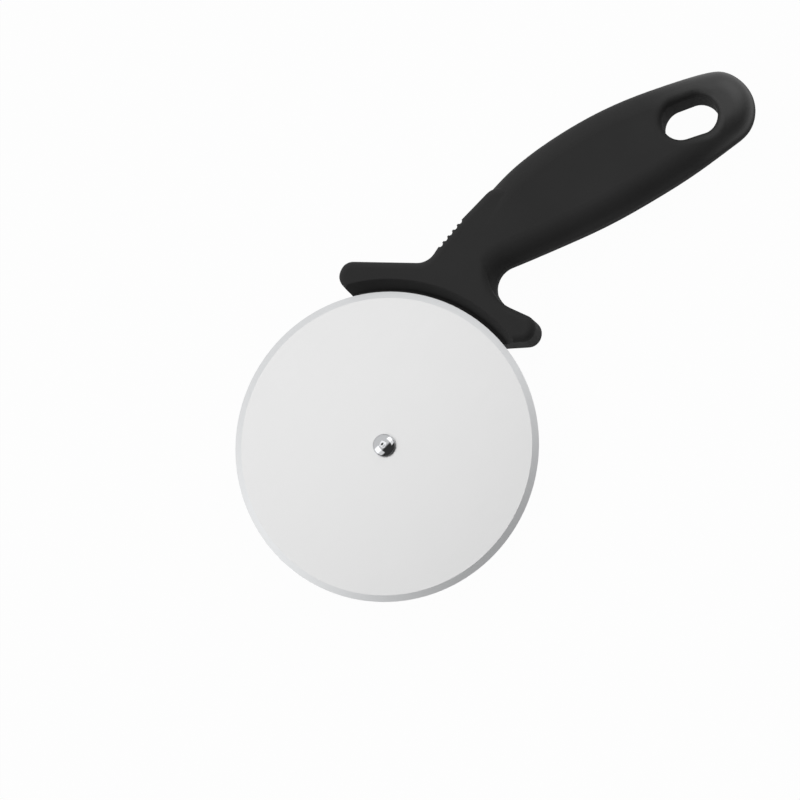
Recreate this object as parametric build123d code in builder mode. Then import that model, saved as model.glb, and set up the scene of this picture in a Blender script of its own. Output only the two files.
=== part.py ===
from build123d import *
import os
from math import atan2, cos, degrees, radians, sin

os.makedirs("parts", exist_ok=True)

# Pizza cutter wheel, lying on its back, in millimetres. Z is up through the front of the
# blade, and X runs from the wheel's axis to the butt of the handle. The box of the whole
# cutter stands on the bench, centred on the origin.

# Blade: a plain round disc, ground from both faces to its edge
blade_diameter = 100.0
blade_thickness = 1.0
bevel_width = 2.1
cutting_edge = 0.14

# Axle: a sleeve that the wheel turns on, clamped between the heads of a two-part rivet
sleeve_diameter = 5.0
sleeve_fit = 0.05
rivet_shank = 4.0
pin_shank = 2.4
front_head_diameter = 7.4
front_head_height = 1.9
rear_head_diameter = 9.0
rear_head_height = 1.7
head_rim = 0.35
dimple_round = 0.9
dimple_depth = 0.3
rivet_end_gap = 0.6
pin_end_gap = 1.0
pin_reach = 10.0

# Bush in the blade, and the washers at each side of it
running_clearance = 0.05
end_play = 0.1
bush_wall = 0.75
front_washer_diameter = 7.0
front_washer_thickness = 0.3
spacer_diameter = 15.0
spacer_thickness = 0.8
rear_washer_diameter = 11.0
rear_washer_thickness = 0.8

# Guard: the curved plate that stands around the rim of the blade
guard_thickness = 17.5
guard_width = 8.0
guard_lap = 4.0
guard_half_sweep = 35.0
guard_lead = 2.2
guard_round = 2.4
blade_sink = 2.0
rim_gap = 3.8
recess_slope = 2.9
recess_depth = 1.5
recess_round = 0.4
web_round = 3.0
web_tip_round = 3.0
web_shoulder_round = 6.0
thumb_round = 3.0

# Arm behind the blade, with the boss that carries the axle
boss_diameter = 19.0
arm_foot_width = 30.0
arm_rise = 3.5
arm_round = 1.8

# Grip
grip_length = 108.3
grip_width = 33.0
grip_rise = 26.0
grip_swell = 1.5
butt_drop = 1.2
butt_lift = 1.1
finger_round = 7.4
finger_turn = 91.0
finger_lead = 8.0

# Hanging slot
slot_length = 17.9
slot_angle = -24.0

# Thumb serrations
tooth_count = 5
tooth_pitch = 2.4

# One overrun for every cut
overrun = 5.0

# Radii about the wheel's axis
blade_radius = blade_diameter / 2
recess_radius = blade_radius + rim_gap
inner_radius = blade_radius - guard_lap
sleeve_radius = sleeve_diameter / 2
boss_radius = boss_diameter / 2
bush_inner = sleeve_radius + running_clearance
bush_outer = bush_inner + bush_wall
grip_reach = recess_radius + grip_length
neck_angle = degrees(atan2(grip_rise, recess_radius))
guard_angle = neck_angle + guard_lead

# Heights above the bench
blade_top = guard_thickness - blade_sink
blade_bottom = blade_top - blade_thickness
blade_middle = (blade_top + blade_bottom) / 2
recess_floor = blade_bottom - recess_depth
boss_top = blade_bottom - end_play - spacer_thickness
head_seat = blade_top + end_play + front_washer_thickness
rear_seat = arm_rise - rear_washer_thickness
rivet_end = rear_seat + rivet_end_gap
pin_end = rear_seat + pin_reach
grip_top = guard_thickness + grip_swell


def turned(reach, angle):
    """Place at a reach from the wheel's axis and an angle from the X axis."""
    return (reach * cos(radians(angle)), reach * sin(radians(angle)))


def rim_point(angle_share, width_share):
    """Place by shares of the guard's half sweep and of its width beyond the recess."""
    reach = recess_radius + width_share * guard_width
    return turned(reach, guard_angle + angle_share * guard_half_sweep)


def lap_point(angle_share):
    """Place on the guard's inner edge, behind the blade."""
    return turned(inner_radius, guard_angle + angle_share * guard_half_sweep)


def grip_point(length_share, width_share):
    """Place by shares of the grip's length past the recess and of its width above the neck."""
    return (recess_radius + length_share * grip_length, grip_rise + width_share * grip_width)


def grip_slope(length_share, width_share):
    """Direction by shares of the grip's length and of its width."""
    return Vector(length_share * grip_length, width_share * grip_width).normalized()


# The guard's rounds keep to its width and to its length to each side of the web
half_length = recess_radius * radians(guard_half_sweep)
lobe_width_share = 0.54
lobe_length_share = 0.13
notch_round_share = 0.40
neck_round_share = 0.20
lobe_round = min(lobe_width_share * guard_width, lobe_length_share * half_length)
notch_round = notch_round_share * half_length
neck_round = neck_round_share * half_length

# The guard's corners: the lobe below the finger notch, the notch and the web's near side
near_corner_shares = (
    (-1.030, 0.50),
    (-0.918, 1.21),
    (-0.449, 0.50),
    (-0.237, 2.16),
)
# The web's other corners: it runs into the grip, and its last edge is the thumb's
web_corner_shares = (
    (0.380, 0.06),
    (0.250, 0.352),
    (0.117, 0.332),
    (0.018, 0.292),
)
# The neck behind the web, and the far lobe
far_corner_shares = (
    (0.183, 0.84),
    (0.929, 1.00),
    (1.038, 0.38),
)
near_corners = [rim_point(*shares) for shares in near_corner_shares]
web_corners = [grip_point(*shares) for shares in web_corner_shares]
far_corners = [rim_point(*shares) for shares in far_corner_shares]
guard_corners = near_corners + web_corners + far_corners
guard_corner_rounds = [
    lobe_round,
    lobe_round,
    notch_round,
    web_round,
    web_tip_round,
    web_shoulder_round,
    thumb_round,
    thumb_round,
    neck_round,
    lobe_round,
    lobe_round,
]
lap_start_share = -0.751
lap_middle_share = 0.05
lap_end_share = 0.851
lap_start = lap_point(lap_start_share)
lap_middle = lap_point(lap_middle_share)
lap_end = lap_point(lap_end_share)

# The grip's back, from inside the guard to the tip of the butt
back_shares = (
    (-0.063, 0.238),
    (0.122, 0.314),
    (0.307, 0.380),
    (0.491, 0.314),
    (0.672, 0.160),
    (0.852, -0.088),
    (0.939, -0.236),
    (0.977, -0.333),
    (1.000, -0.570),
)
# The grip's belly, from the tip of the butt to the finger notch
belly_shares = (
    (1.000, -0.570),
    (0.989, -0.742),
    (0.956, -0.876),
    (0.909, -0.945),
    (0.858, -0.940),
    (0.729, -0.887),
    (0.575, -0.787),
    (0.421, -0.654),
    (0.296, -0.511),
    (0.137, -0.312),
)
# The grip's root, which ends square inside the guard
root_shares = (
    (-0.048, -0.588),
    (-0.055, 0.015),
)
back_start_slope = grip_slope(1.0, 0.295)
butt_slope = (0.0, -1.0)
belly_end_slope = grip_slope(-1.0, 1.319)
unit_slopes = (1, 1)

# The grip's side profile: where it starts to swell, and where it is thickest
swell_start_share = 0.16
swell_crest_share = 0.50
level_slope = (1.0, 0.0)
crown_end_slope = (1.0, -0.03)
keel_end_slope = (1.0, 0.02)

# The grip's sides are as round as its thickness, width and butt allow, and its slot is as wide
side_round_share = 0.245
butt_round_share = 0.0745
butt_thickness = guard_thickness - butt_drop - butt_lift
grip_round = min(
    butt_thickness / 2,
    side_round_share * grip_width,
    butt_round_share * grip_length,
)
slot_place_shares = (0.812, -0.492)
slot_width_share = 0.373
slot_round_share = 0.07
slot_width = slot_width_share * grip_width
slot_round = slot_round_share * grip_width
tooth_start_share = 0.5
tooth_groove_share = 0.36
tooth_depth_share = 1.25
tooth_groove = tooth_groove_share * tooth_pitch
tooth_depth = tooth_depth_share * tooth_groove

# The box of the whole cutter: from the blade's rim to the butt, and to the far lobe
far_lobe_corner = far_corners[-2]
lobe_crest_share = 0.26
lobe_crest = far_lobe_corner[1] - lobe_crest_share * lobe_round
wheel_x = (blade_radius - grip_reach) / 2
wheel_y = (blade_radius - lobe_crest) / 2
wheel_axis = Axis((wheel_x, wheel_y, 0), (0, 0, 1))

# Upright plane through the wheel's axis: its X runs along the handle, its Y is up
side = Plane(origin=(wheel_x, wheel_y, 0), x_dir=(1, 0, 0), z_dir=(0, -1, 0))


def level(height):
    """Plane at a height above the bench, centred on the wheel's axis."""
    return Plane(origin=(wheel_x, wheel_y, height))


# Guard: a plate with two lobes, a finger notch and a web that runs into the grip
with BuildPart() as guard:
    with BuildSketch(level(0)):
        with BuildLine():
            FilletPolyline(lap_start, *guard_corners, lap_end, radius=guard_corner_rounds)
            ThreePointArc(lap_end, lap_middle, lap_start)
        make_face()
    extrude(amount=guard_thickness)
    guard_faces = guard.faces().filter_by(Axis.Z)
    lap_edges = guard_faces.edges().filter_by(GeomType.CIRCLE).group_by(SortBy.RADIUS)[-1]
    fillet(guard_faces.edges() - lap_edges, guard_round)

# Arm: a tapered web from the guard to a round boss
with BuildPart() as arm:
    with BuildSketch(level(arm_rise)):
        with BuildLine():
            foot_reach = inner_radius + guard_lap / 2
            foot_angle = degrees(atan2(arm_foot_width / 2, foot_reach))
            corner_reach = foot_reach / cos(radians(foot_angle))
            Polyline(
                turned(boss_radius, neck_angle + 90),
                turned(corner_reach, neck_angle + foot_angle),
                turned(corner_reach, neck_angle - foot_angle),
                turned(boss_radius, neck_angle - 90),
                close=True,
            )
        make_face()
        Circle(boss_radius)
    extrude(amount=recess_floor - arm_rise)
    fillet(arm.faces().sort_by(Axis.Z)[0].edges(), arm_round)
    with BuildSketch(level(recess_floor)):
        Circle(boss_radius)
    extrude(amount=boss_top - recess_floor)

# Handle: grip, guard and arm are one moulding
with BuildPart() as handle:
    with BuildSketch(level(0)):
        with BuildLine():
            back = Spline(
                *[grip_point(*shares) for shares in back_shares],
                tangents=[back_start_slope, butt_slope],
                tangent_scalars=unit_slopes,
            )
            belly = Spline(
                *[grip_point(*shares) for shares in belly_shares],
                tangents=[butt_slope, belly_end_slope],
                tangent_scalars=unit_slopes,
            )
            notch = JernArc(belly @ 1, belly % 1, finger_round, finger_turn)
            root_end = notch @ 1 + (notch % 1) * finger_lead
            Polyline(notch @ 1, root_end, *[grip_point(*shares) for shares in root_shares], back @ 0)
        make_face()
    extrude(amount=grip_top + overrun)

    # Cut to the side profile: flush with the guard at the neck, thickest in the palm
    with BuildSketch(side.offset(-grip_reach)):
        with BuildLine():
            crown = Spline(
                (recess_radius + swell_start_share * grip_length, guard_thickness),
                (recess_radius + swell_crest_share * grip_length, grip_top),
                (grip_reach + overrun, guard_thickness - butt_drop),
                tangents=[level_slope, level_slope, crown_end_slope],
                tangent_scalars=[1, 1, 1],
            )
            keel = Spline(
                (0, 0),
                (grip_reach + overrun, butt_lift),
                tangents=[level_slope, keel_end_slope],
                tangent_scalars=unit_slopes,
            )
            Line(crown @ 1, keel @ 1)
            Polyline(crown @ 0, (0, guard_thickness), keel @ 0)
        make_face()
    extrude(amount=2 * grip_reach, mode=Mode.INTERSECT)

    # Deep rounding all along the sides, but not on the root inside the guard
    upright_faces = handle.faces().filter_by(GeomType.PLANE).filter_by(Axis.Z, reverse=True)
    root_faces = upright_faces.sort_by(Axis.X)[:-1]
    side_edges = handle.edges().filter_by(Axis.Z, reverse=True).filter_by(Axis.Y, reverse=True)
    fillet(side_edges - root_faces.edges(), grip_round)

    # Hanging slot through the butt, rounded at both faces
    edges_before = handle.edges()
    with BuildSketch(level(-overrun)):
        with Locations(grip_point(*slot_place_shares)):
            SlotOverall(slot_length, slot_width, rotation=slot_angle)
    extrude(amount=grip_top + 2 * overrun, mode=Mode.SUBTRACT)
    slot_edges = handle.edges() - edges_before
    fillet(slot_edges.filter_by(Axis.Z, reverse=True), slot_round)

    add(guard.part)
    add(arm.part)

    # Serrations for the thumb across the neck's back
    with BuildSketch(level(-overrun)):
        thumb_end, thumb_start = [Vector(*corner) for corner in web_corners[-2:]]
        along = (thumb_end - thumb_start).normalized()
        outward = along.rotate(Axis.Z, 90)
        for tooth in range(tooth_count):
            reach = (tooth + tooth_start_share) * tooth_pitch
            with Locations(thumb_start + along * reach + outward * (tooth_groove - tooth_depth)):
                Circle(tooth_groove)
    extrude(amount=grip_top + 2 * overrun, mode=Mode.SUBTRACT)

    # Recess around the blade, with a sloped wall and a rounded lip
    with BuildSketch(side):
        with BuildLine():
            Polyline(
                (boss_radius, recess_floor),
                (recess_radius - recess_slope, recess_floor),
                (recess_radius, guard_thickness),
                (recess_radius, guard_thickness + overrun),
                (boss_radius, guard_thickness + overrun),
                close=True,
            )
        make_face()
    revolve(axis=wheel_axis, mode=Mode.SUBTRACT)
    lip_edges = handle.edges().filter_by(GeomType.CIRCLE).filter_by(
        lambda edge: abs(edge.radius - recess_radius) < recess_round
    )
    fillet(lip_edges, recess_round)

    # Bore for the sleeve
    with Locations((wheel_x, wheel_y, boss_top)):
        Hole(sleeve_radius)
handle.part.label = "handle"
export_step(handle.part, "parts/handle.step")

# Blade
with BuildPart() as blade:
    with BuildSketch(side):
        with BuildLine():
            Polyline(
                (bush_outer, blade_bottom),
                (blade_radius - bevel_width, blade_bottom),
                (blade_radius, blade_middle - cutting_edge / 2),
                (blade_radius, blade_middle + cutting_edge / 2),
                (blade_radius - bevel_width, blade_top),
                (bush_outer, blade_top),
                close=True,
            )
        make_face()
    revolve(axis=wheel_axis)
blade.part.label = "blade"
export_step(blade.part, "parts/blade.step")

# Bush pressed into the blade, turning on the sleeve
with BuildPart() as blade_bush:
    with BuildSketch(level(blade_bottom)):
        Circle(bush_outer)
        Circle(bush_inner, mode=Mode.SUBTRACT)
    extrude(amount=blade_thickness)
blade_bush.part.label = "blade_bush"
export_step(blade_bush.part, "parts/blade_bush.step")

# Thin washer between the blade and the rivet's front head
with BuildPart() as front_washer:
    with BuildSketch(level(head_seat - front_washer_thickness)):
        Circle(front_washer_diameter / 2)
        Circle(bush_inner, mode=Mode.SUBTRACT)
    extrude(amount=front_washer_thickness)
front_washer.part.label = "front_washer"
export_step(front_washer.part, "parts/front_washer.step")

# Spacer that holds the blade off the boss
with BuildPart() as spacer_washer:
    with BuildSketch(level(boss_top)):
        Circle(spacer_diameter / 2)
        Circle(bush_inner, mode=Mode.SUBTRACT)
    extrude(amount=spacer_thickness)
spacer_washer.part.label = "spacer_washer"
export_step(spacer_washer.part, "parts/spacer_washer.step")

# Sleeve through the boss, from the rear washer to the front head
with BuildPart() as axle_sleeve:
    with BuildSketch(level(arm_rise)):
        Circle(sleeve_radius)
        Circle(rivet_shank / 2 + sleeve_fit, mode=Mode.SUBTRACT)
    extrude(amount=head_seat - arm_rise)
axle_sleeve.part.label = "axle_sleeve"
export_step(axle_sleeve.part, "parts/axle_sleeve.step")

# Rear washer, which spreads the rear head's pull over the plastic
with BuildPart() as rear_washer:
    with BuildSketch(level(rear_seat)):
        Circle(rear_washer_diameter / 2)
        Circle(rivet_shank / 2 + sleeve_fit, mode=Mode.SUBTRACT)
    extrude(amount=rear_washer_thickness)
rear_washer.part.label = "rear_washer"
export_step(rear_washer.part, "parts/rear_washer.step")

# Front half of the rivet: a domed head on a tubular shank
with BuildPart() as axle_rivet:
    with BuildSketch(side):
        with BuildLine():
            front_dome = EllipticalCenterArc(
                (0, head_seat + head_rim),
                front_head_diameter / 2,
                front_head_height - head_rim,
                start_angle=90,
                arc_size=-90,
            )
            Polyline(
                front_dome @ 1,
                (front_head_diameter / 2, head_seat),
                (rivet_shank / 2, head_seat),
                (rivet_shank / 2, rivet_end),
                (pin_shank / 2, rivet_end),
                (pin_shank / 2, pin_end + pin_end_gap),
                (0, pin_end + pin_end_gap),
                front_dome @ 0,
            )
        make_face()
    revolve(axis=wheel_axis)

    # Dimple left in the crown when the head is closed
    with Locations((wheel_x, wheel_y, head_seat + front_head_height + dimple_round - dimple_depth)):
        Sphere(dimple_round, mode=Mode.SUBTRACT)
axle_rivet.part.label = "axle_rivet"
export_step(axle_rivet.part, "parts/axle_rivet.step")

# Rear half of the rivet: a domed head on a solid pin driven up the shank
with BuildPart() as axle_pin:
    with BuildSketch(side):
        with BuildLine():
            rear_dome = EllipticalCenterArc(
                (0, rear_seat - head_rim),
                rear_head_diameter / 2,
                rear_head_height - head_rim,
                start_angle=270,
                arc_size=90,
            )
            Polyline(
                rear_dome @ 1,
                (rear_head_diameter / 2, rear_seat),
                (pin_shank / 2, rear_seat),
                (pin_shank / 2, pin_end),
                (0, pin_end),
                rear_dome @ 0,
            )
        make_face()
    revolve(axis=wheel_axis)
axle_pin.part.label = "axle_pin"
export_step(axle_pin.part, "parts/axle_pin.step")
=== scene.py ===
"""Dress the pizza cutter wheel: black grip and guard, satin blade and bright rivet."""

import logging
import math
from dataclasses import dataclass, field
from enum import Enum
from typing import Any

import bmesh
import bpy
from mathutils import Matrix, Vector


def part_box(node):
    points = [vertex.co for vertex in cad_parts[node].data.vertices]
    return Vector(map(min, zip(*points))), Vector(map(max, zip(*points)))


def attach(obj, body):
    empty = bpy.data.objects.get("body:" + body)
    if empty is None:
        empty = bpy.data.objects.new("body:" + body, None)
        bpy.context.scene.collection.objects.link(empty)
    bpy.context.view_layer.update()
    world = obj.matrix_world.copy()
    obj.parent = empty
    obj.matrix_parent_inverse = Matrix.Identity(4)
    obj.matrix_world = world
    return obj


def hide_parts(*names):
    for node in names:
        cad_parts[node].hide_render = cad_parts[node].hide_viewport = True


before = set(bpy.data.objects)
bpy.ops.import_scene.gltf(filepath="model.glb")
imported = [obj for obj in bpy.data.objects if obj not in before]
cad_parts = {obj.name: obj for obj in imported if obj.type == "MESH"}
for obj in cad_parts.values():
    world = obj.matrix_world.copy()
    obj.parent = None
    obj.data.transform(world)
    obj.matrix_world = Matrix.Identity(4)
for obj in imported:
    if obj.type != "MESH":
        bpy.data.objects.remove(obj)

log = logging.getLogger("pizza_cutter")

MM = 0.001
IMAGE_SIDE = 800
SHARP_EDGE = math.radians(30)
# The wave pattern runs through this many radians in one unit of its scale
WAVE_TURN = 20.0


class Body(Enum):
    """The two rigid bodies of the cutter."""

    HANDLE = "handle"
    WHEEL = "wheel"


def linear(hex_colour: str) -> tuple[float, float, float, float]:
    """Turn an sRGB hex colour into linear RGBA.

    Args:
        hex_colour: Six hex digits with a leading hash.

    Returns:
        The colour as four linear numbers, fully opaque.
    """
    digits = hex_colour.lstrip("#")
    shares = [int(digits[start : start + 2], 16) / 255 for start in (0, 2, 4)]
    red, green, blue = (
        share / 12.92 if share <= 0.04045 else ((share + 0.055) / 1.055) ** 2.4
        for share in shares
    )
    return (red, green, blue, 1.0)


def add_node(
    tree: bpy.types.NodeTree,
    kind: str,
    options: dict[str, Any] | None = None,
    inputs: dict[Any, Any] | None = None,
) -> bpy.types.Node:
    """Add one shader node, with its options set and its inputs set or linked.

    Args:
        tree: The tree that takes the node.
        kind: The node's Blender type name.
        options: Attributes of the node itself.
        inputs: Input name or number to a value, or to the socket that feeds it.

    Returns:
        The new node.
    """
    node = tree.nodes.new(kind)
    for name, value in (options or {}).items():
        setattr(node, name, value)
    for key, value in (inputs or {}).items():
        if isinstance(value, bpy.types.NodeSocket):
            tree.links.new(value, node.inputs[key])
        else:
            node.inputs[key].default_value = value
    return node


def new_material(name: str) -> bpy.types.Material:
    """Make an empty node material of that name."""
    material = bpy.data.materials.new(name)
    material.use_nodes = True
    material.node_tree.nodes.clear()
    return material


@dataclass(frozen=True)
class MouldedPolypropylene:
    """Polypropylene, injection moulded in a spark-eroded tool.

    The mould's fine pitting leaves a dead matt black with no mirror image in it, only a broad
    soft sheen. Handling has polished it very slightly in patches, and most at the butt.
    """

    name: str = "black_polypropylene"
    colour: str = "#2d2d2d"
    polished_colour: str = "#282828"
    ior: float = 1.49
    specular: float = 0.15
    polished_specular: float = 0.56
    roughness: float = 0.72
    polished_roughness: float = 0.46
    # Hands never rub the steep walls, which stay as rough as the mould left them
    wall_roughness: float = 0.82
    wall_rise: float = 0.1
    face_rise: float = 0.5
    # The real pits are about 0.05 mm apart, too fine to show, so they are drawn at 0.35 mm
    pit_mm: float = 0.35
    pit_depth_mm: float = 0.012
    pit_detail: float = 2.0
    pit_roughness: float = 0.6
    patch_mm: float = 22.0
    patch_detail: float = 3.0
    patch_low: float = 0.35
    patch_high: float = 0.75
    patch_share: float = 0.12
    butt_start_mm: float = 72.0
    butt_end_mm: float = 104.0

    def material(self) -> bpy.types.Material:
        """Build the plastic's node material.

        Returns:
            The finished material.
        """
        material = new_material(self.name)
        tree = material.node_tree
        place = add_node(tree, "ShaderNodeTexCoord")
        patches = add_node(
            tree,
            "ShaderNodeTexNoise",
            inputs={
                "Vector": place.outputs["Object"],
                "Scale": 1 / (self.patch_mm * MM),
                "Detail": self.patch_detail,
            },
        )
        patch_polish = add_node(
            tree,
            "ShaderNodeMapRange",
            inputs={
                "Value": patches.outputs[0],
                "From Min": self.patch_low,
                "From Max": self.patch_high,
                "To Max": self.patch_share,
            },
        )
        parts = add_node(tree, "ShaderNodeSeparateXYZ", inputs={0: place.outputs["Object"]})
        butt_polish = add_node(
            tree,
            "ShaderNodeMapRange",
            options={"interpolation_type": "SMOOTHSTEP"},
            inputs={
                "Value": parts.outputs[0],
                "From Min": self.butt_start_mm * MM,
                "From Max": self.butt_end_mm * MM,
            },
        )
        either_polish = add_node(
            tree,
            "ShaderNodeMath",
            options={"operation": "MAXIMUM"},
            inputs={0: patch_polish.outputs[0], 1: butt_polish.outputs[0]},
        )
        facing = add_node(tree, "ShaderNodeSeparateXYZ", inputs={0: place.outputs["Normal"]})
        steepness = add_node(
            tree,
            "ShaderNodeMath",
            options={"operation": "ABSOLUTE"},
            inputs={0: facing.outputs[2]},
        )
        open_face = add_node(
            tree,
            "ShaderNodeMapRange",
            options={"interpolation_type": "SMOOTHSTEP"},
            inputs={
                "Value": steepness.outputs[0],
                "From Min": self.wall_rise,
                "From Max": self.face_rise,
            },
        )
        polish = add_node(
            tree,
            "ShaderNodeMath",
            options={"operation": "MULTIPLY"},
            inputs={0: either_polish.outputs[0], 1: open_face.outputs[0]},
        )
        unpolished = add_node(
            tree,
            "ShaderNodeMix",
            inputs={0: open_face.outputs[0], 2: self.wall_roughness, 3: self.roughness},
        )
        colour = add_node(
            tree,
            "ShaderNodeMix",
            options={"data_type": "RGBA"},
            inputs={
                0: polish.outputs[0],
                6: linear(self.colour),
                7: linear(self.polished_colour),
            },
        )
        roughness = add_node(
            tree,
            "ShaderNodeMix",
            inputs={
                0: polish.outputs[0],
                2: unpolished.outputs[0],
                3: self.polished_roughness,
            },
        )
        specular = add_node(
            tree,
            "ShaderNodeMix",
            inputs={0: polish.outputs[0], 2: self.specular, 3: self.polished_specular},
        )
        pits = add_node(
            tree,
            "ShaderNodeTexNoise",
            inputs={
                "Vector": place.outputs["Object"],
                "Scale": 1 / (self.pit_mm * MM),
                "Detail": self.pit_detail,
                "Roughness": self.pit_roughness,
            },
        )
        bump = add_node(
            tree,
            "ShaderNodeBump",
            inputs={"Distance": self.pit_depth_mm * MM, "Height": pits.outputs[0]},
        )
        shader = add_node(
            tree,
            "ShaderNodeBsdfPrincipled",
            inputs={
                "Base Color": colour.outputs[2],
                "Roughness": roughness.outputs[0],
                "IOR": self.ior,
                "Specular IOR Level": specular.outputs[0],
                "Normal": bump.outputs[0],
            },
        )
        add_node(tree, "ShaderNodeOutputMaterial", inputs={"Surface": shader.outputs[0]})
        return material


@dataclass(frozen=True)
class SatinStainless:
    """Stainless steel strip, satin rolled and stamped, with its bevel ground after.

    The rolled face gives a pale even grey that blurs all it mirrors. The grinding wheel leaves
    the bevel brighter in some directions and darker in others, with fine lines across it.
    """

    name: str = "satin_stainless"
    colour: str = "#d8d8d8"
    bevel_colour: str = "#dcddde"
    roughness: float = 0.36
    roughness_spread: float = 0.03
    bevel_roughness: float = 0.52
    # The stamped face turns into the ground bevel within this much of its start
    bevel_before_mm: float = 0.02
    bevel_after_mm: float = 0.05
    # Rolling lines are about 0.03 mm apart, too fine to show, so they are drawn at 0.3 mm
    line_mm: float = 0.3
    line_length_mm: float = 14.0
    line_depth_mm: float = 0.0012
    line_detail: float = 3.0
    # Grinding lines are about 0.1 mm apart, and are drawn at 0.35 mm
    grinding_mm: float = 0.35
    grinding_depth_mm: float = 0.006
    grinding_detail: float = 2.0
    # Turn of a grinding line, in radians, and its changes along itself, per metre of reach
    grinding_slant: float = 8.0
    grinding_stretch: float = 120.0

    def material(self, centre: Vector, bevel_start: float, rim: float) -> bpy.types.Material:
        """Build the steel's node material for a disc.

        Args:
            centre: The disc's centre, in metres.
            bevel_start: Radius at which the ground bevel starts, in metres.
            rim: Radius of the disc, in metres.

        Returns:
            The finished material.
        """
        material = new_material(self.name)
        tree = material.node_tree
        place = add_node(tree, "ShaderNodeTexCoord")
        from_centre = add_node(
            tree,
            "ShaderNodeVectorMath",
            options={"operation": "SUBTRACT"},
            inputs={0: place.outputs["Object"], 1: (centre.x, centre.y, centre.z)},
        )
        flat = add_node(
            tree,
            "ShaderNodeVectorMath",
            options={"operation": "MULTIPLY"},
            inputs={0: from_centre.outputs[0], 1: (1.0, 1.0, 0.0)},
        )
        reach = add_node(
            tree,
            "ShaderNodeVectorMath",
            options={"operation": "LENGTH"},
            inputs={0: flat.outputs[0]},
        )
        on_bevel = add_node(
            tree,
            "ShaderNodeMapRange",
            inputs={
                "Value": reach.outputs["Value"],
                "From Min": bevel_start - self.bevel_before_mm * MM,
                "From Max": bevel_start + self.bevel_after_mm * MM,
            },
        )
        parts = add_node(tree, "ShaderNodeSeparateXYZ", inputs={0: from_centre.outputs[0]})
        turn = add_node(
            tree,
            "ShaderNodeMath",
            options={"operation": "ARCTAN2"},
            inputs={0: parts.outputs[1], 1: parts.outputs[0]},
        )
        # The grinding lines slant across the bevel as the wheel leaves them
        slant = add_node(
            tree,
            "ShaderNodeMath",
            options={"operation": "MULTIPLY_ADD"},
            inputs={0: reach.outputs["Value"], 1: self.grinding_slant, 2: turn.outputs[0]},
        )
        around = add_node(
            tree,
            "ShaderNodeCombineXYZ",
            inputs={0: slant.outputs[0], 1: reach.outputs["Value"]},
        )
        grinding_place = add_node(
            tree,
            "ShaderNodeVectorMath",
            options={"operation": "MULTIPLY"},
            inputs={
                0: around.outputs[0],
                1: (rim / (self.grinding_mm * MM), self.grinding_stretch, 0.0),
            },
        )
        grinding = add_node(
            tree,
            "ShaderNodeTexNoise",
            inputs={
                "Vector": grinding_place.outputs[0],
                "Scale": 1.0,
                "Detail": self.grinding_detail,
            },
        )
        rolling_place = add_node(
            tree,
            "ShaderNodeVectorMath",
            options={"operation": "MULTIPLY"},
            inputs={
                0: from_centre.outputs[0],
                1: (1 / (self.line_length_mm * MM), 1 / (self.line_mm * MM), 0.0),
            },
        )
        rolling = add_node(
            tree,
            "ShaderNodeTexNoise",
            inputs={
                "Vector": rolling_place.outputs[0],
                "Scale": 1.0,
                "Detail": self.line_detail,
            },
        )
        rolling_bump = add_node(
            tree,
            "ShaderNodeBump",
            inputs={"Distance": self.line_depth_mm * MM, "Height": rolling.outputs[0]},
        )
        grinding_bump = add_node(
            tree,
            "ShaderNodeBump",
            inputs={
                "Distance": self.grinding_depth_mm * MM,
                "Height": grinding.outputs[0],
                "Strength": on_bevel.outputs[0],
                "Normal": rolling_bump.outputs[0],
            },
        )
        colour = add_node(
            tree,
            "ShaderNodeMix",
            options={"data_type": "RGBA"},
            inputs={
                0: on_bevel.outputs[0],
                6: linear(self.colour),
                7: linear(self.bevel_colour),
            },
        )
        face_roughness = add_node(
            tree,
            "ShaderNodeMapRange",
            inputs={
                "Value": rolling.outputs[0],
                "To Min": self.roughness - self.roughness_spread,
                "To Max": self.roughness + self.roughness_spread,
            },
        )
        roughness = add_node(
            tree,
            "ShaderNodeMix",
            inputs={
                0: on_bevel.outputs[0],
                2: face_roughness.outputs[0],
                3: self.bevel_roughness,
            },
        )
        shader = add_node(
            tree,
            "ShaderNodeBsdfPrincipled",
            inputs={
                "Base Color": colour.outputs[2],
                "Metallic": 1.0,
                "Roughness": roughness.outputs[0],
                "Normal": grinding_bump.outputs[0],
            },
        )
        add_node(tree, "ShaderNodeOutputMaterial", inputs={"Surface": shader.outputs[0]})
        return material


@dataclass(frozen=True)
class PlatedSteel:
    """Mild steel, headed cold and plated with nickel and chrome.

    The plating mirrors the room sharply, so the dome shows small images of the lights, with
    faint flow marks left by the heading tool.
    """

    name: str = "plated_steel"
    colour: str = "#c6c7c9"
    roughness_low: float = 0.04
    roughness_high: float = 0.12
    mark_mm: float = 0.9
    mark_depth_mm: float = 0.004

    def material(self) -> bpy.types.Material:
        """Build the plating's node material.

        Returns:
            The finished material.
        """
        material = new_material(self.name)
        tree = material.node_tree
        place = add_node(tree, "ShaderNodeTexCoord")
        marks = add_node(
            tree,
            "ShaderNodeTexNoise",
            inputs={"Vector": place.outputs["Object"], "Scale": 1 / (self.mark_mm * MM)},
        )
        bump = add_node(
            tree,
            "ShaderNodeBump",
            inputs={"Distance": self.mark_depth_mm * MM, "Height": marks.outputs[0]},
        )
        roughness = add_node(
            tree,
            "ShaderNodeMapRange",
            inputs={
                "Value": marks.outputs[0],
                "To Min": self.roughness_low,
                "To Max": self.roughness_high,
            },
        )
        shader = add_node(
            tree,
            "ShaderNodeBsdfPrincipled",
            inputs={
                "Base Color": linear(self.colour),
                "Metallic": 1.0,
                "Roughness": roughness.outputs[0],
                "Normal": bump.outputs[0],
            },
        )
        add_node(tree, "ShaderNodeOutputMaterial", inputs={"Surface": shader.outputs[0]})
        return material


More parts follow.
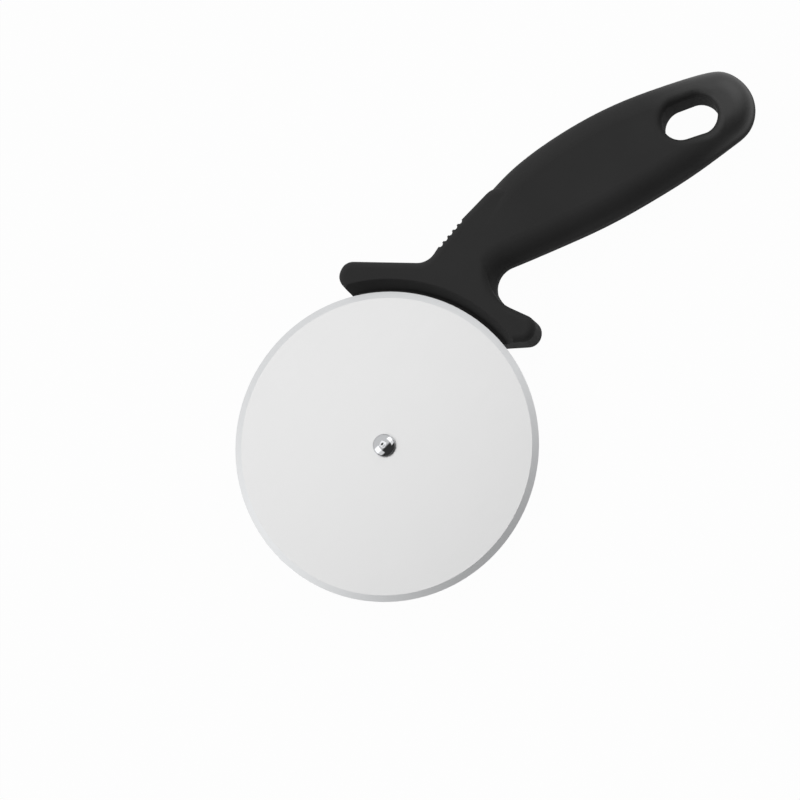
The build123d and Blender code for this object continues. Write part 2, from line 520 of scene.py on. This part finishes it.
@dataclass(frozen=True)
class TurnedSteel:
    """Bright mild steel, turned on a lathe.

    The tool leaves fine rings about the axis, which draw the light out into a soft streak.
    """

    name: str = "turned_steel"
    colour: str = "#b9b9b8"
    roughness: float = 0.3
    # The tool's rings are about 0.2 mm apart, too fine to show, so they are drawn at 1.26 mm
    ring_mm: float = 1.26
    ring_depth_mm: float = 0.004
    ring_waver: float = 0.6

    def material(self, centre: Vector) -> bpy.types.Material:
        """Build the turned steel's node material.

        Args:
            centre: A point on the lathe's axis, in metres.

        Returns:
            The finished material.
        """
        material = new_material(self.name)
        tree = material.node_tree
        place = add_node(tree, "ShaderNodeTexCoord")
        from_axis = add_node(
            tree,
            "ShaderNodeVectorMath",
            options={"operation": "SUBTRACT"},
            inputs={0: place.outputs["Object"], 1: (centre.x, centre.y, 0.0)},
        )
        rings = add_node(
            tree,
            "ShaderNodeTexWave",
            options={"wave_type": "RINGS", "rings_direction": "Z"},
            inputs={
                "Vector": from_axis.outputs[0],
                "Scale": math.tau / (self.ring_mm * MM) / WAVE_TURN,
                "Distortion": self.ring_waver,
            },
        )
        bump = add_node(
            tree,
            "ShaderNodeBump",
            inputs={"Distance": self.ring_depth_mm * MM, "Height": rings.outputs[1]},
        )
        shader = add_node(
            tree,
            "ShaderNodeBsdfPrincipled",
            inputs={
                "Base Color": linear(self.colour),
                "Metallic": 1.0,
                "Roughness": self.roughness,
                "Normal": bump.outputs[0],
            },
        )
        add_node(tree, "ShaderNodeOutputMaterial", inputs={"Surface": shader.outputs[0]})
        return material


@dataclass(frozen=True)
class NaturalAcetal:
    """Natural acetal, injection moulded or punched from sheet.

    It is a milky white that lets a little light in, with a waxy half gloss.
    """

    name: str = "natural_acetal"
    colour: str = "#e9e8e2"
    ior: float = 1.48
    roughness_low: float = 0.33
    roughness_high: float = 0.43
    cloud_mm: float = 1.5

    def material(self) -> bpy.types.Material:
        """Build the acetal's node material.

        Returns:
            The finished material.
        """
        material = new_material(self.name)
        tree = material.node_tree
        place = add_node(tree, "ShaderNodeTexCoord")
        clouds = add_node(
            tree,
            "ShaderNodeTexNoise",
            inputs={"Vector": place.outputs["Object"], "Scale": 1 / (self.cloud_mm * MM)},
        )
        roughness = add_node(
            tree,
            "ShaderNodeMapRange",
            inputs={
                "Value": clouds.outputs[0],
                "To Min": self.roughness_low,
                "To Max": self.roughness_high,
            },
        )
        shader = add_node(
            tree,
            "ShaderNodeBsdfPrincipled",
            inputs={
                "Base Color": linear(self.colour),
                "Roughness": roughness.outputs[0],
                "IOR": self.ior,
            },
        )
        add_node(tree, "ShaderNodeOutputMaterial", inputs={"Surface": shader.outputs[0]})
        return material


def dress(node: str, material: bpy.types.Material, body: Body) -> bpy.types.Object:
    """Give a carried-over solid its finish, with smooth shading kept.

    Args:
        node: The solid's node name.
        material: Its finish.
        body: The body that carries it.

    Returns:
        The dressed object.
    """
    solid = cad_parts[node]
    solid.data.materials.clear()
    solid.data.materials.append(material)
    log.info("%s: dressed %s with %s", body.value, node, material.name)
    return solid


def lathe(
    name: str,
    centre: Vector,
    profile: list[tuple[float, float]],
    turns: int,
) -> bpy.types.Object:
    """Turn a profile about an upright axis into a closed mesh.

    Args:
        name: The object's name.
        centre: A point on the axis, in metres.
        profile: Reach and height of each point, both ends on the axis.
        turns: Number of steps round the axis.

    Returns:
        The new object, smooth shaded but for its sharp edges.
    """
    mesh = bpy.data.meshes.new(name)
    work = bmesh.new()
    rings = []
    for reach, height in profile[1:-1]:
        ring = []
        for turn in range(turns):
            angle = math.tau * turn / turns
            x = centre.x + reach * math.cos(angle)
            y = centre.y + reach * math.sin(angle)
            ring.append(work.verts.new((x, y, height)))
        rings.append(ring)
    first = work.verts.new((centre.x, centre.y, profile[0][1]))
    last = work.verts.new((centre.x, centre.y, profile[-1][1]))
    for turn in range(turns):
        after = (turn + 1) % turns
        work.faces.new((first, rings[0][turn], rings[0][after]))
        work.faces.new((last, rings[-1][after], rings[-1][turn]))
        for upper, lower in zip(rings, rings[1:]):
            work.faces.new((upper[turn], lower[turn], lower[after], upper[after]))
    for face in work.faces:
        face.smooth = True
    for edge in work.edges:
        edge.smooth = edge.calc_face_angle(0.0) < SHARP_EDGE
    work.to_mesh(mesh)
    work.free()
    turned = bpy.data.objects.new(name, mesh)
    bpy.context.scene.collection.objects.link(turned)
    return turned


@dataclass
class MouldedHandle:
    """Grip, guard and arm in one moulding."""

    body: Body = Body.HANDLE
    finish: MouldedPolypropylene = field(default_factory=MouldedPolypropylene)

    def dress(self) -> None:
        """Put the moulded plastic on the handle."""
        dress("handle", self.finish.material(), self.body)


@dataclass
class RollingBlade:
    """The round blade with its bush."""

    body: Body = Body.WHEEL
    bevel_width: float = 2.1 * MM
    finish: SatinStainless = field(default_factory=SatinStainless)
    bush_finish: NaturalAcetal = field(default_factory=NaturalAcetal)

    def dress(self) -> None:
        """Put satin steel on the blade and acetal on its bush."""
        low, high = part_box("blade")
        rim = (high.x - low.x) / 2
        steel = self.finish.material((low + high) / 2, rim - self.bevel_width, rim)
        dress("blade", steel, self.body)
        dress("blade_bush", self.bush_finish.material(), self.body)


@dataclass
class RivetedAxle:
    """The two-part rivet, the sleeve that it clamps, and the washers."""

    body: Body = Body.HANDLE
    head_radius: float = 3.7 * MM
    head_height: float = 1.9 * MM
    head_rim: float = 0.35 * MM
    dimple_radius: float = 0.9 * MM
    dimple_depth: float = 0.3 * MM
    shank_radius: float = 2.0 * MM
    bore_radius: float = 1.2 * MM
    bore_roof: float = 2.2 * MM
    turns: int = 128
    dome_steps: int = 24
    dimple_steps: int = 8
    halvings: int = 40
    rivet_finish: PlatedSteel = field(default_factory=PlatedSteel)
    sleeve_finish: TurnedSteel = field(default_factory=TurnedSteel)
    washer_finish: NaturalAcetal = field(default_factory=NaturalAcetal)

    def dome_height(self, reach: float) -> float:
        """Height of the dome's ellipse above the rivet's seat at that reach."""
        share = min(reach / self.head_radius, 1.0)
        return self.head_rim + (self.head_height - self.head_rim) * math.sqrt(1 - share**2)

    def dimple_edge(self) -> float:
        """Reach at which the dimple's ball leaves the dome."""
        ball = self.head_height - self.dimple_depth + self.dimple_radius
        low, high = 0.0, self.dimple_radius
        for _ in range(self.halvings):
            reach = (low + high) / 2
            if ball - math.sqrt(self.dimple_radius**2 - reach**2) < self.dome_height(reach):
                low = reach
            else:
                high = reach
        return low

    def rivet_profile(self, seat: float, foot: float) -> list[tuple[float, float]]:
        """Trace the front rivet from the middle of its dimple to the roof of its bore.

        Args:
            seat: Height of the head's underside, in metres.
            foot: Height of the shank's lower end, in metres.

        Returns:
            Reach and height of each point.
        """
        edge = self.dimple_edge()
        ball = self.head_height - self.dimple_depth + self.dimple_radius
        points = []
        for step in range(self.dimple_steps):
            reach = edge * step / self.dimple_steps
            points.append((reach, seat + ball - math.sqrt(self.dimple_radius**2 - reach**2)))
        start = math.asin(edge / self.head_radius)
        for step in range(self.dome_steps + 1):
            turn = start + (math.pi / 2 - start) * step / self.dome_steps
            reach = self.head_radius * math.sin(turn)
            points.append((reach, seat + self.dome_height(reach)))
        roof = seat - self.bore_roof
        points += [(self.head_radius, seat), (self.shank_radius, seat)]
        points += [(self.shank_radius, foot), (self.bore_radius, foot)]
        return points + [(self.bore_radius, roof), (0.0, roof)]

    def build_rivet(self, finish: bpy.types.Material) -> bpy.types.Object:
        """Lathe the front rivet finely, so that its dome mirrors the room without facets.

        Args:
            finish: The plating.

        Returns:
            The rivet, in the place of its solid.
        """
        low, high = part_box("axle_rivet")
        profile = self.rivet_profile(high.z - self.crown_rise(), low.z)
        rivet = lathe("rivet_front", (low + high) / 2, profile, self.turns)
        rivet.data.materials.append(finish)
        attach(rivet, self.body.value)
        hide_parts("axle_rivet")
        log.info("%s: lathed the rivet's front half", self.body.value)
        return rivet

    def crown_rise(self) -> float:
        """Height of the dimple's edge, the rivet's highest line, above its seat."""
        return self.dome_height(self.dimple_edge())

    def dress(self) -> None:
        """Put plating on the rivet, turned steel on the sleeve and acetal on the washers."""
        low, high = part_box("axle_sleeve")
        plating = self.rivet_finish.material()
        turned = self.sleeve_finish.material((low + high) / 2)
        acetal = self.washer_finish.material()
        self.build_rivet(plating)
        dress("axle_pin", plating, self.body)
        for node in ("axle_sleeve", "rear_washer"):
            dress(node, turned, self.body)
        for node in ("front_washer", "spacer_washer"):
            dress(node, acetal, self.body)


@dataclass(frozen=True)
class SoftLamp:
    """One square soft lamp, aimed at the object."""

    name: str
    place: tuple[float, float, float]
    side: float
    power: float

    def build(self) -> bpy.types.Object:
        """Make the lamp and aim it at the object's centre.

        Returns:
            The lamp's object.
        """
        data = bpy.data.lights.new(self.name, "AREA")
        data.shape = "SQUARE"
        data.size = self.side
        data.energy = self.power
        lamp = bpy.data.objects.new(self.name, data)
        lamp.location = self.place
        lamp.rotation_mode = "QUATERNION"
        lamp.rotation_quaternion = (-Vector(self.place)).to_track_quat("-Z", "Y")
        lamp.visible_camera = False
        bpy.context.scene.collection.objects.link(lamp)
        log.info("lamp %s", self.name)
        return lamp


@dataclass
class Studio:
    """Camera, pale floor, soft lamps and the room around them."""

    camera_place: tuple[float, float, float] = (0.01885, -0.15144, 0.69530)
    camera_right: tuple[float, float, float] = (0.72598, -0.65272, -0.21658)
    camera_up: tuple[float, float, float] = (0.68211, 0.72354, 0.10588)
    focal_pixels: float = 2181.2
    sensor: float = 36.0
    half_pixel: float = 0.5
    nearest: float = 0.01
    farthest: float = 20.0
    floor_side: float = 12.0
    floor_colour: str = "#b8b8b8"
    floor_white_share: float = 0.975
    room_colour: str = "#ffffff"
    # The room is bright behind the thumb side of the cutter and dark behind its belly
    dark_room: float = 0.05
    bright_room: float = 0.90
    dark_share: float = -0.06
    bright_share: float = 0.06
    lamps: tuple[SoftLamp, ...] = (
        SoftLamp("lamp_above", (-0.14, 0.33, 1.2), 0.56, 0.64),
        SoftLamp("lamp_butt_side", (1.05, 0.05, 0.8), 1.2, 5.2),
        SoftLamp("lamp_wheel_side", (-1.05, 0.05, 0.8), 1.2, 4.4),
    )

    def build_camera(self) -> bpy.types.Object:
        """Make the camera that the photograph was taken from.

        Returns:
            The camera's object, already the scene's camera.
        """
        data = bpy.data.cameras.new("camera")
        data.sensor_width = self.sensor
        data.lens = self.focal_pixels / IMAGE_SIDE * self.sensor
        data.shift_x = -self.half_pixel / IMAGE_SIDE
        data.shift_y = self.half_pixel / IMAGE_SIDE
        data.clip_start = self.nearest
        data.clip_end = self.farthest
        camera = bpy.data.objects.new("camera", data)
        right = Vector(self.camera_right).normalized()
        up = Vector(self.camera_up).normalized()
        back = right.cross(up)
        turn = Matrix((right, up, back)).transposed()
        camera.matrix_world = Matrix.Translation(self.camera_place) @ turn.to_4x4()
        bpy.context.scene.collection.objects.link(camera)
        bpy.context.scene.camera = camera
        log.info("camera")
        return camera

    def build_floor(self) -> bpy.types.Object:
        """Make the pale floor, which mirrors and lenses see as white.

        Returns:
            The floor's object.
        """
        material = new_material("pale_floor")
        tree = material.node_tree
        paper = add_node(
            tree,
            "ShaderNodeBsdfDiffuse",
            inputs={"Color": linear(self.floor_colour)},
        )
        white = add_node(tree, "ShaderNodeEmission", inputs={"Strength": 1.0})
        path = add_node(tree, "ShaderNodeLightPath")
        seen = add_node(
            tree,
            "ShaderNodeMath",
            options={"operation": "MAXIMUM"},
            inputs={0: path.outputs["Is Camera Ray"], 1: path.outputs["Is Glossy Ray"]},
        )
        seen_through = add_node(
            tree,
            "ShaderNodeMath",
            options={"operation": "MAXIMUM"},
            inputs={0: seen.outputs[0], 1: path.outputs["Is Transmission Ray"]},
        )
        share = add_node(
            tree,
            "ShaderNodeMath",
            options={"operation": "MULTIPLY"},
            inputs={0: seen_through.outputs[0], 1: self.floor_white_share},
        )
        mixed = add_node(
            tree,
            "ShaderNodeMixShader",
            inputs={0: share.outputs[0], 1: paper.outputs[0], 2: white.outputs[0]},
        )
        add_node(tree, "ShaderNodeOutputMaterial", inputs={"Surface": mixed.outputs[0]})
        mesh = bpy.data.meshes.new("floor")
        sheet = bmesh.new()
        bmesh.ops.create_grid(sheet, x_segments=1, y_segments=1, size=self.floor_side / 2)
        sheet.to_mesh(mesh)
        sheet.free()
        floor = bpy.data.objects.new("floor", mesh)
        floor.data.materials.append(material)
        bpy.context.scene.collection.objects.link(floor)
        log.info("floor")
        return floor

    def build_room(self) -> None:
        """Light the scene from all round, more from the thumb side than from the belly side."""
        world = bpy.data.worlds.new("room")
        world.use_nodes = True
        tree = world.node_tree
        tree.nodes.clear()
        direction = add_node(tree, "ShaderNodeTexCoord")
        parts = add_node(
            tree,
            "ShaderNodeSeparateXYZ",
            inputs={0: direction.outputs["Generated"]},
        )
        strength = add_node(
            tree,
            "ShaderNodeMapRange",
            inputs={
                "Value": parts.outputs[1],
                "From Min": self.dark_share,
                "From Max": self.bright_share,
                "To Min": self.dark_room,
                "To Max": self.bright_room,
            },
        )
        room = add_node(
            tree,
            "ShaderNodeBackground",
            inputs={"Color": linear(self.room_colour), "Strength": strength.outputs[0]},
        )
        add_node(tree, "ShaderNodeOutputWorld", inputs={"Surface": room.outputs[0]})
        bpy.context.scene.world = world
        log.info("room")

    def build(self) -> None:
        """Build all of the studio but the camera."""
        self.build_floor()
        self.build_room()
        for lamp in self.lamps:
            lamp.build()


def main() -> None:
    """Build the studio and dress the cutter, piece by piece."""
    logging.basicConfig(level=logging.INFO, format="%(name)s: %(message)s")
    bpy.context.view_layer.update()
    view = bpy.context.scene.view_settings
    view.view_transform = "Standard"
    studio = Studio()
    studio.build_camera()
    MouldedHandle().dress()
    RollingBlade().dress()
    RivetedAxle().dress()
    studio.build()


if __name__ == "__main__":
    main()
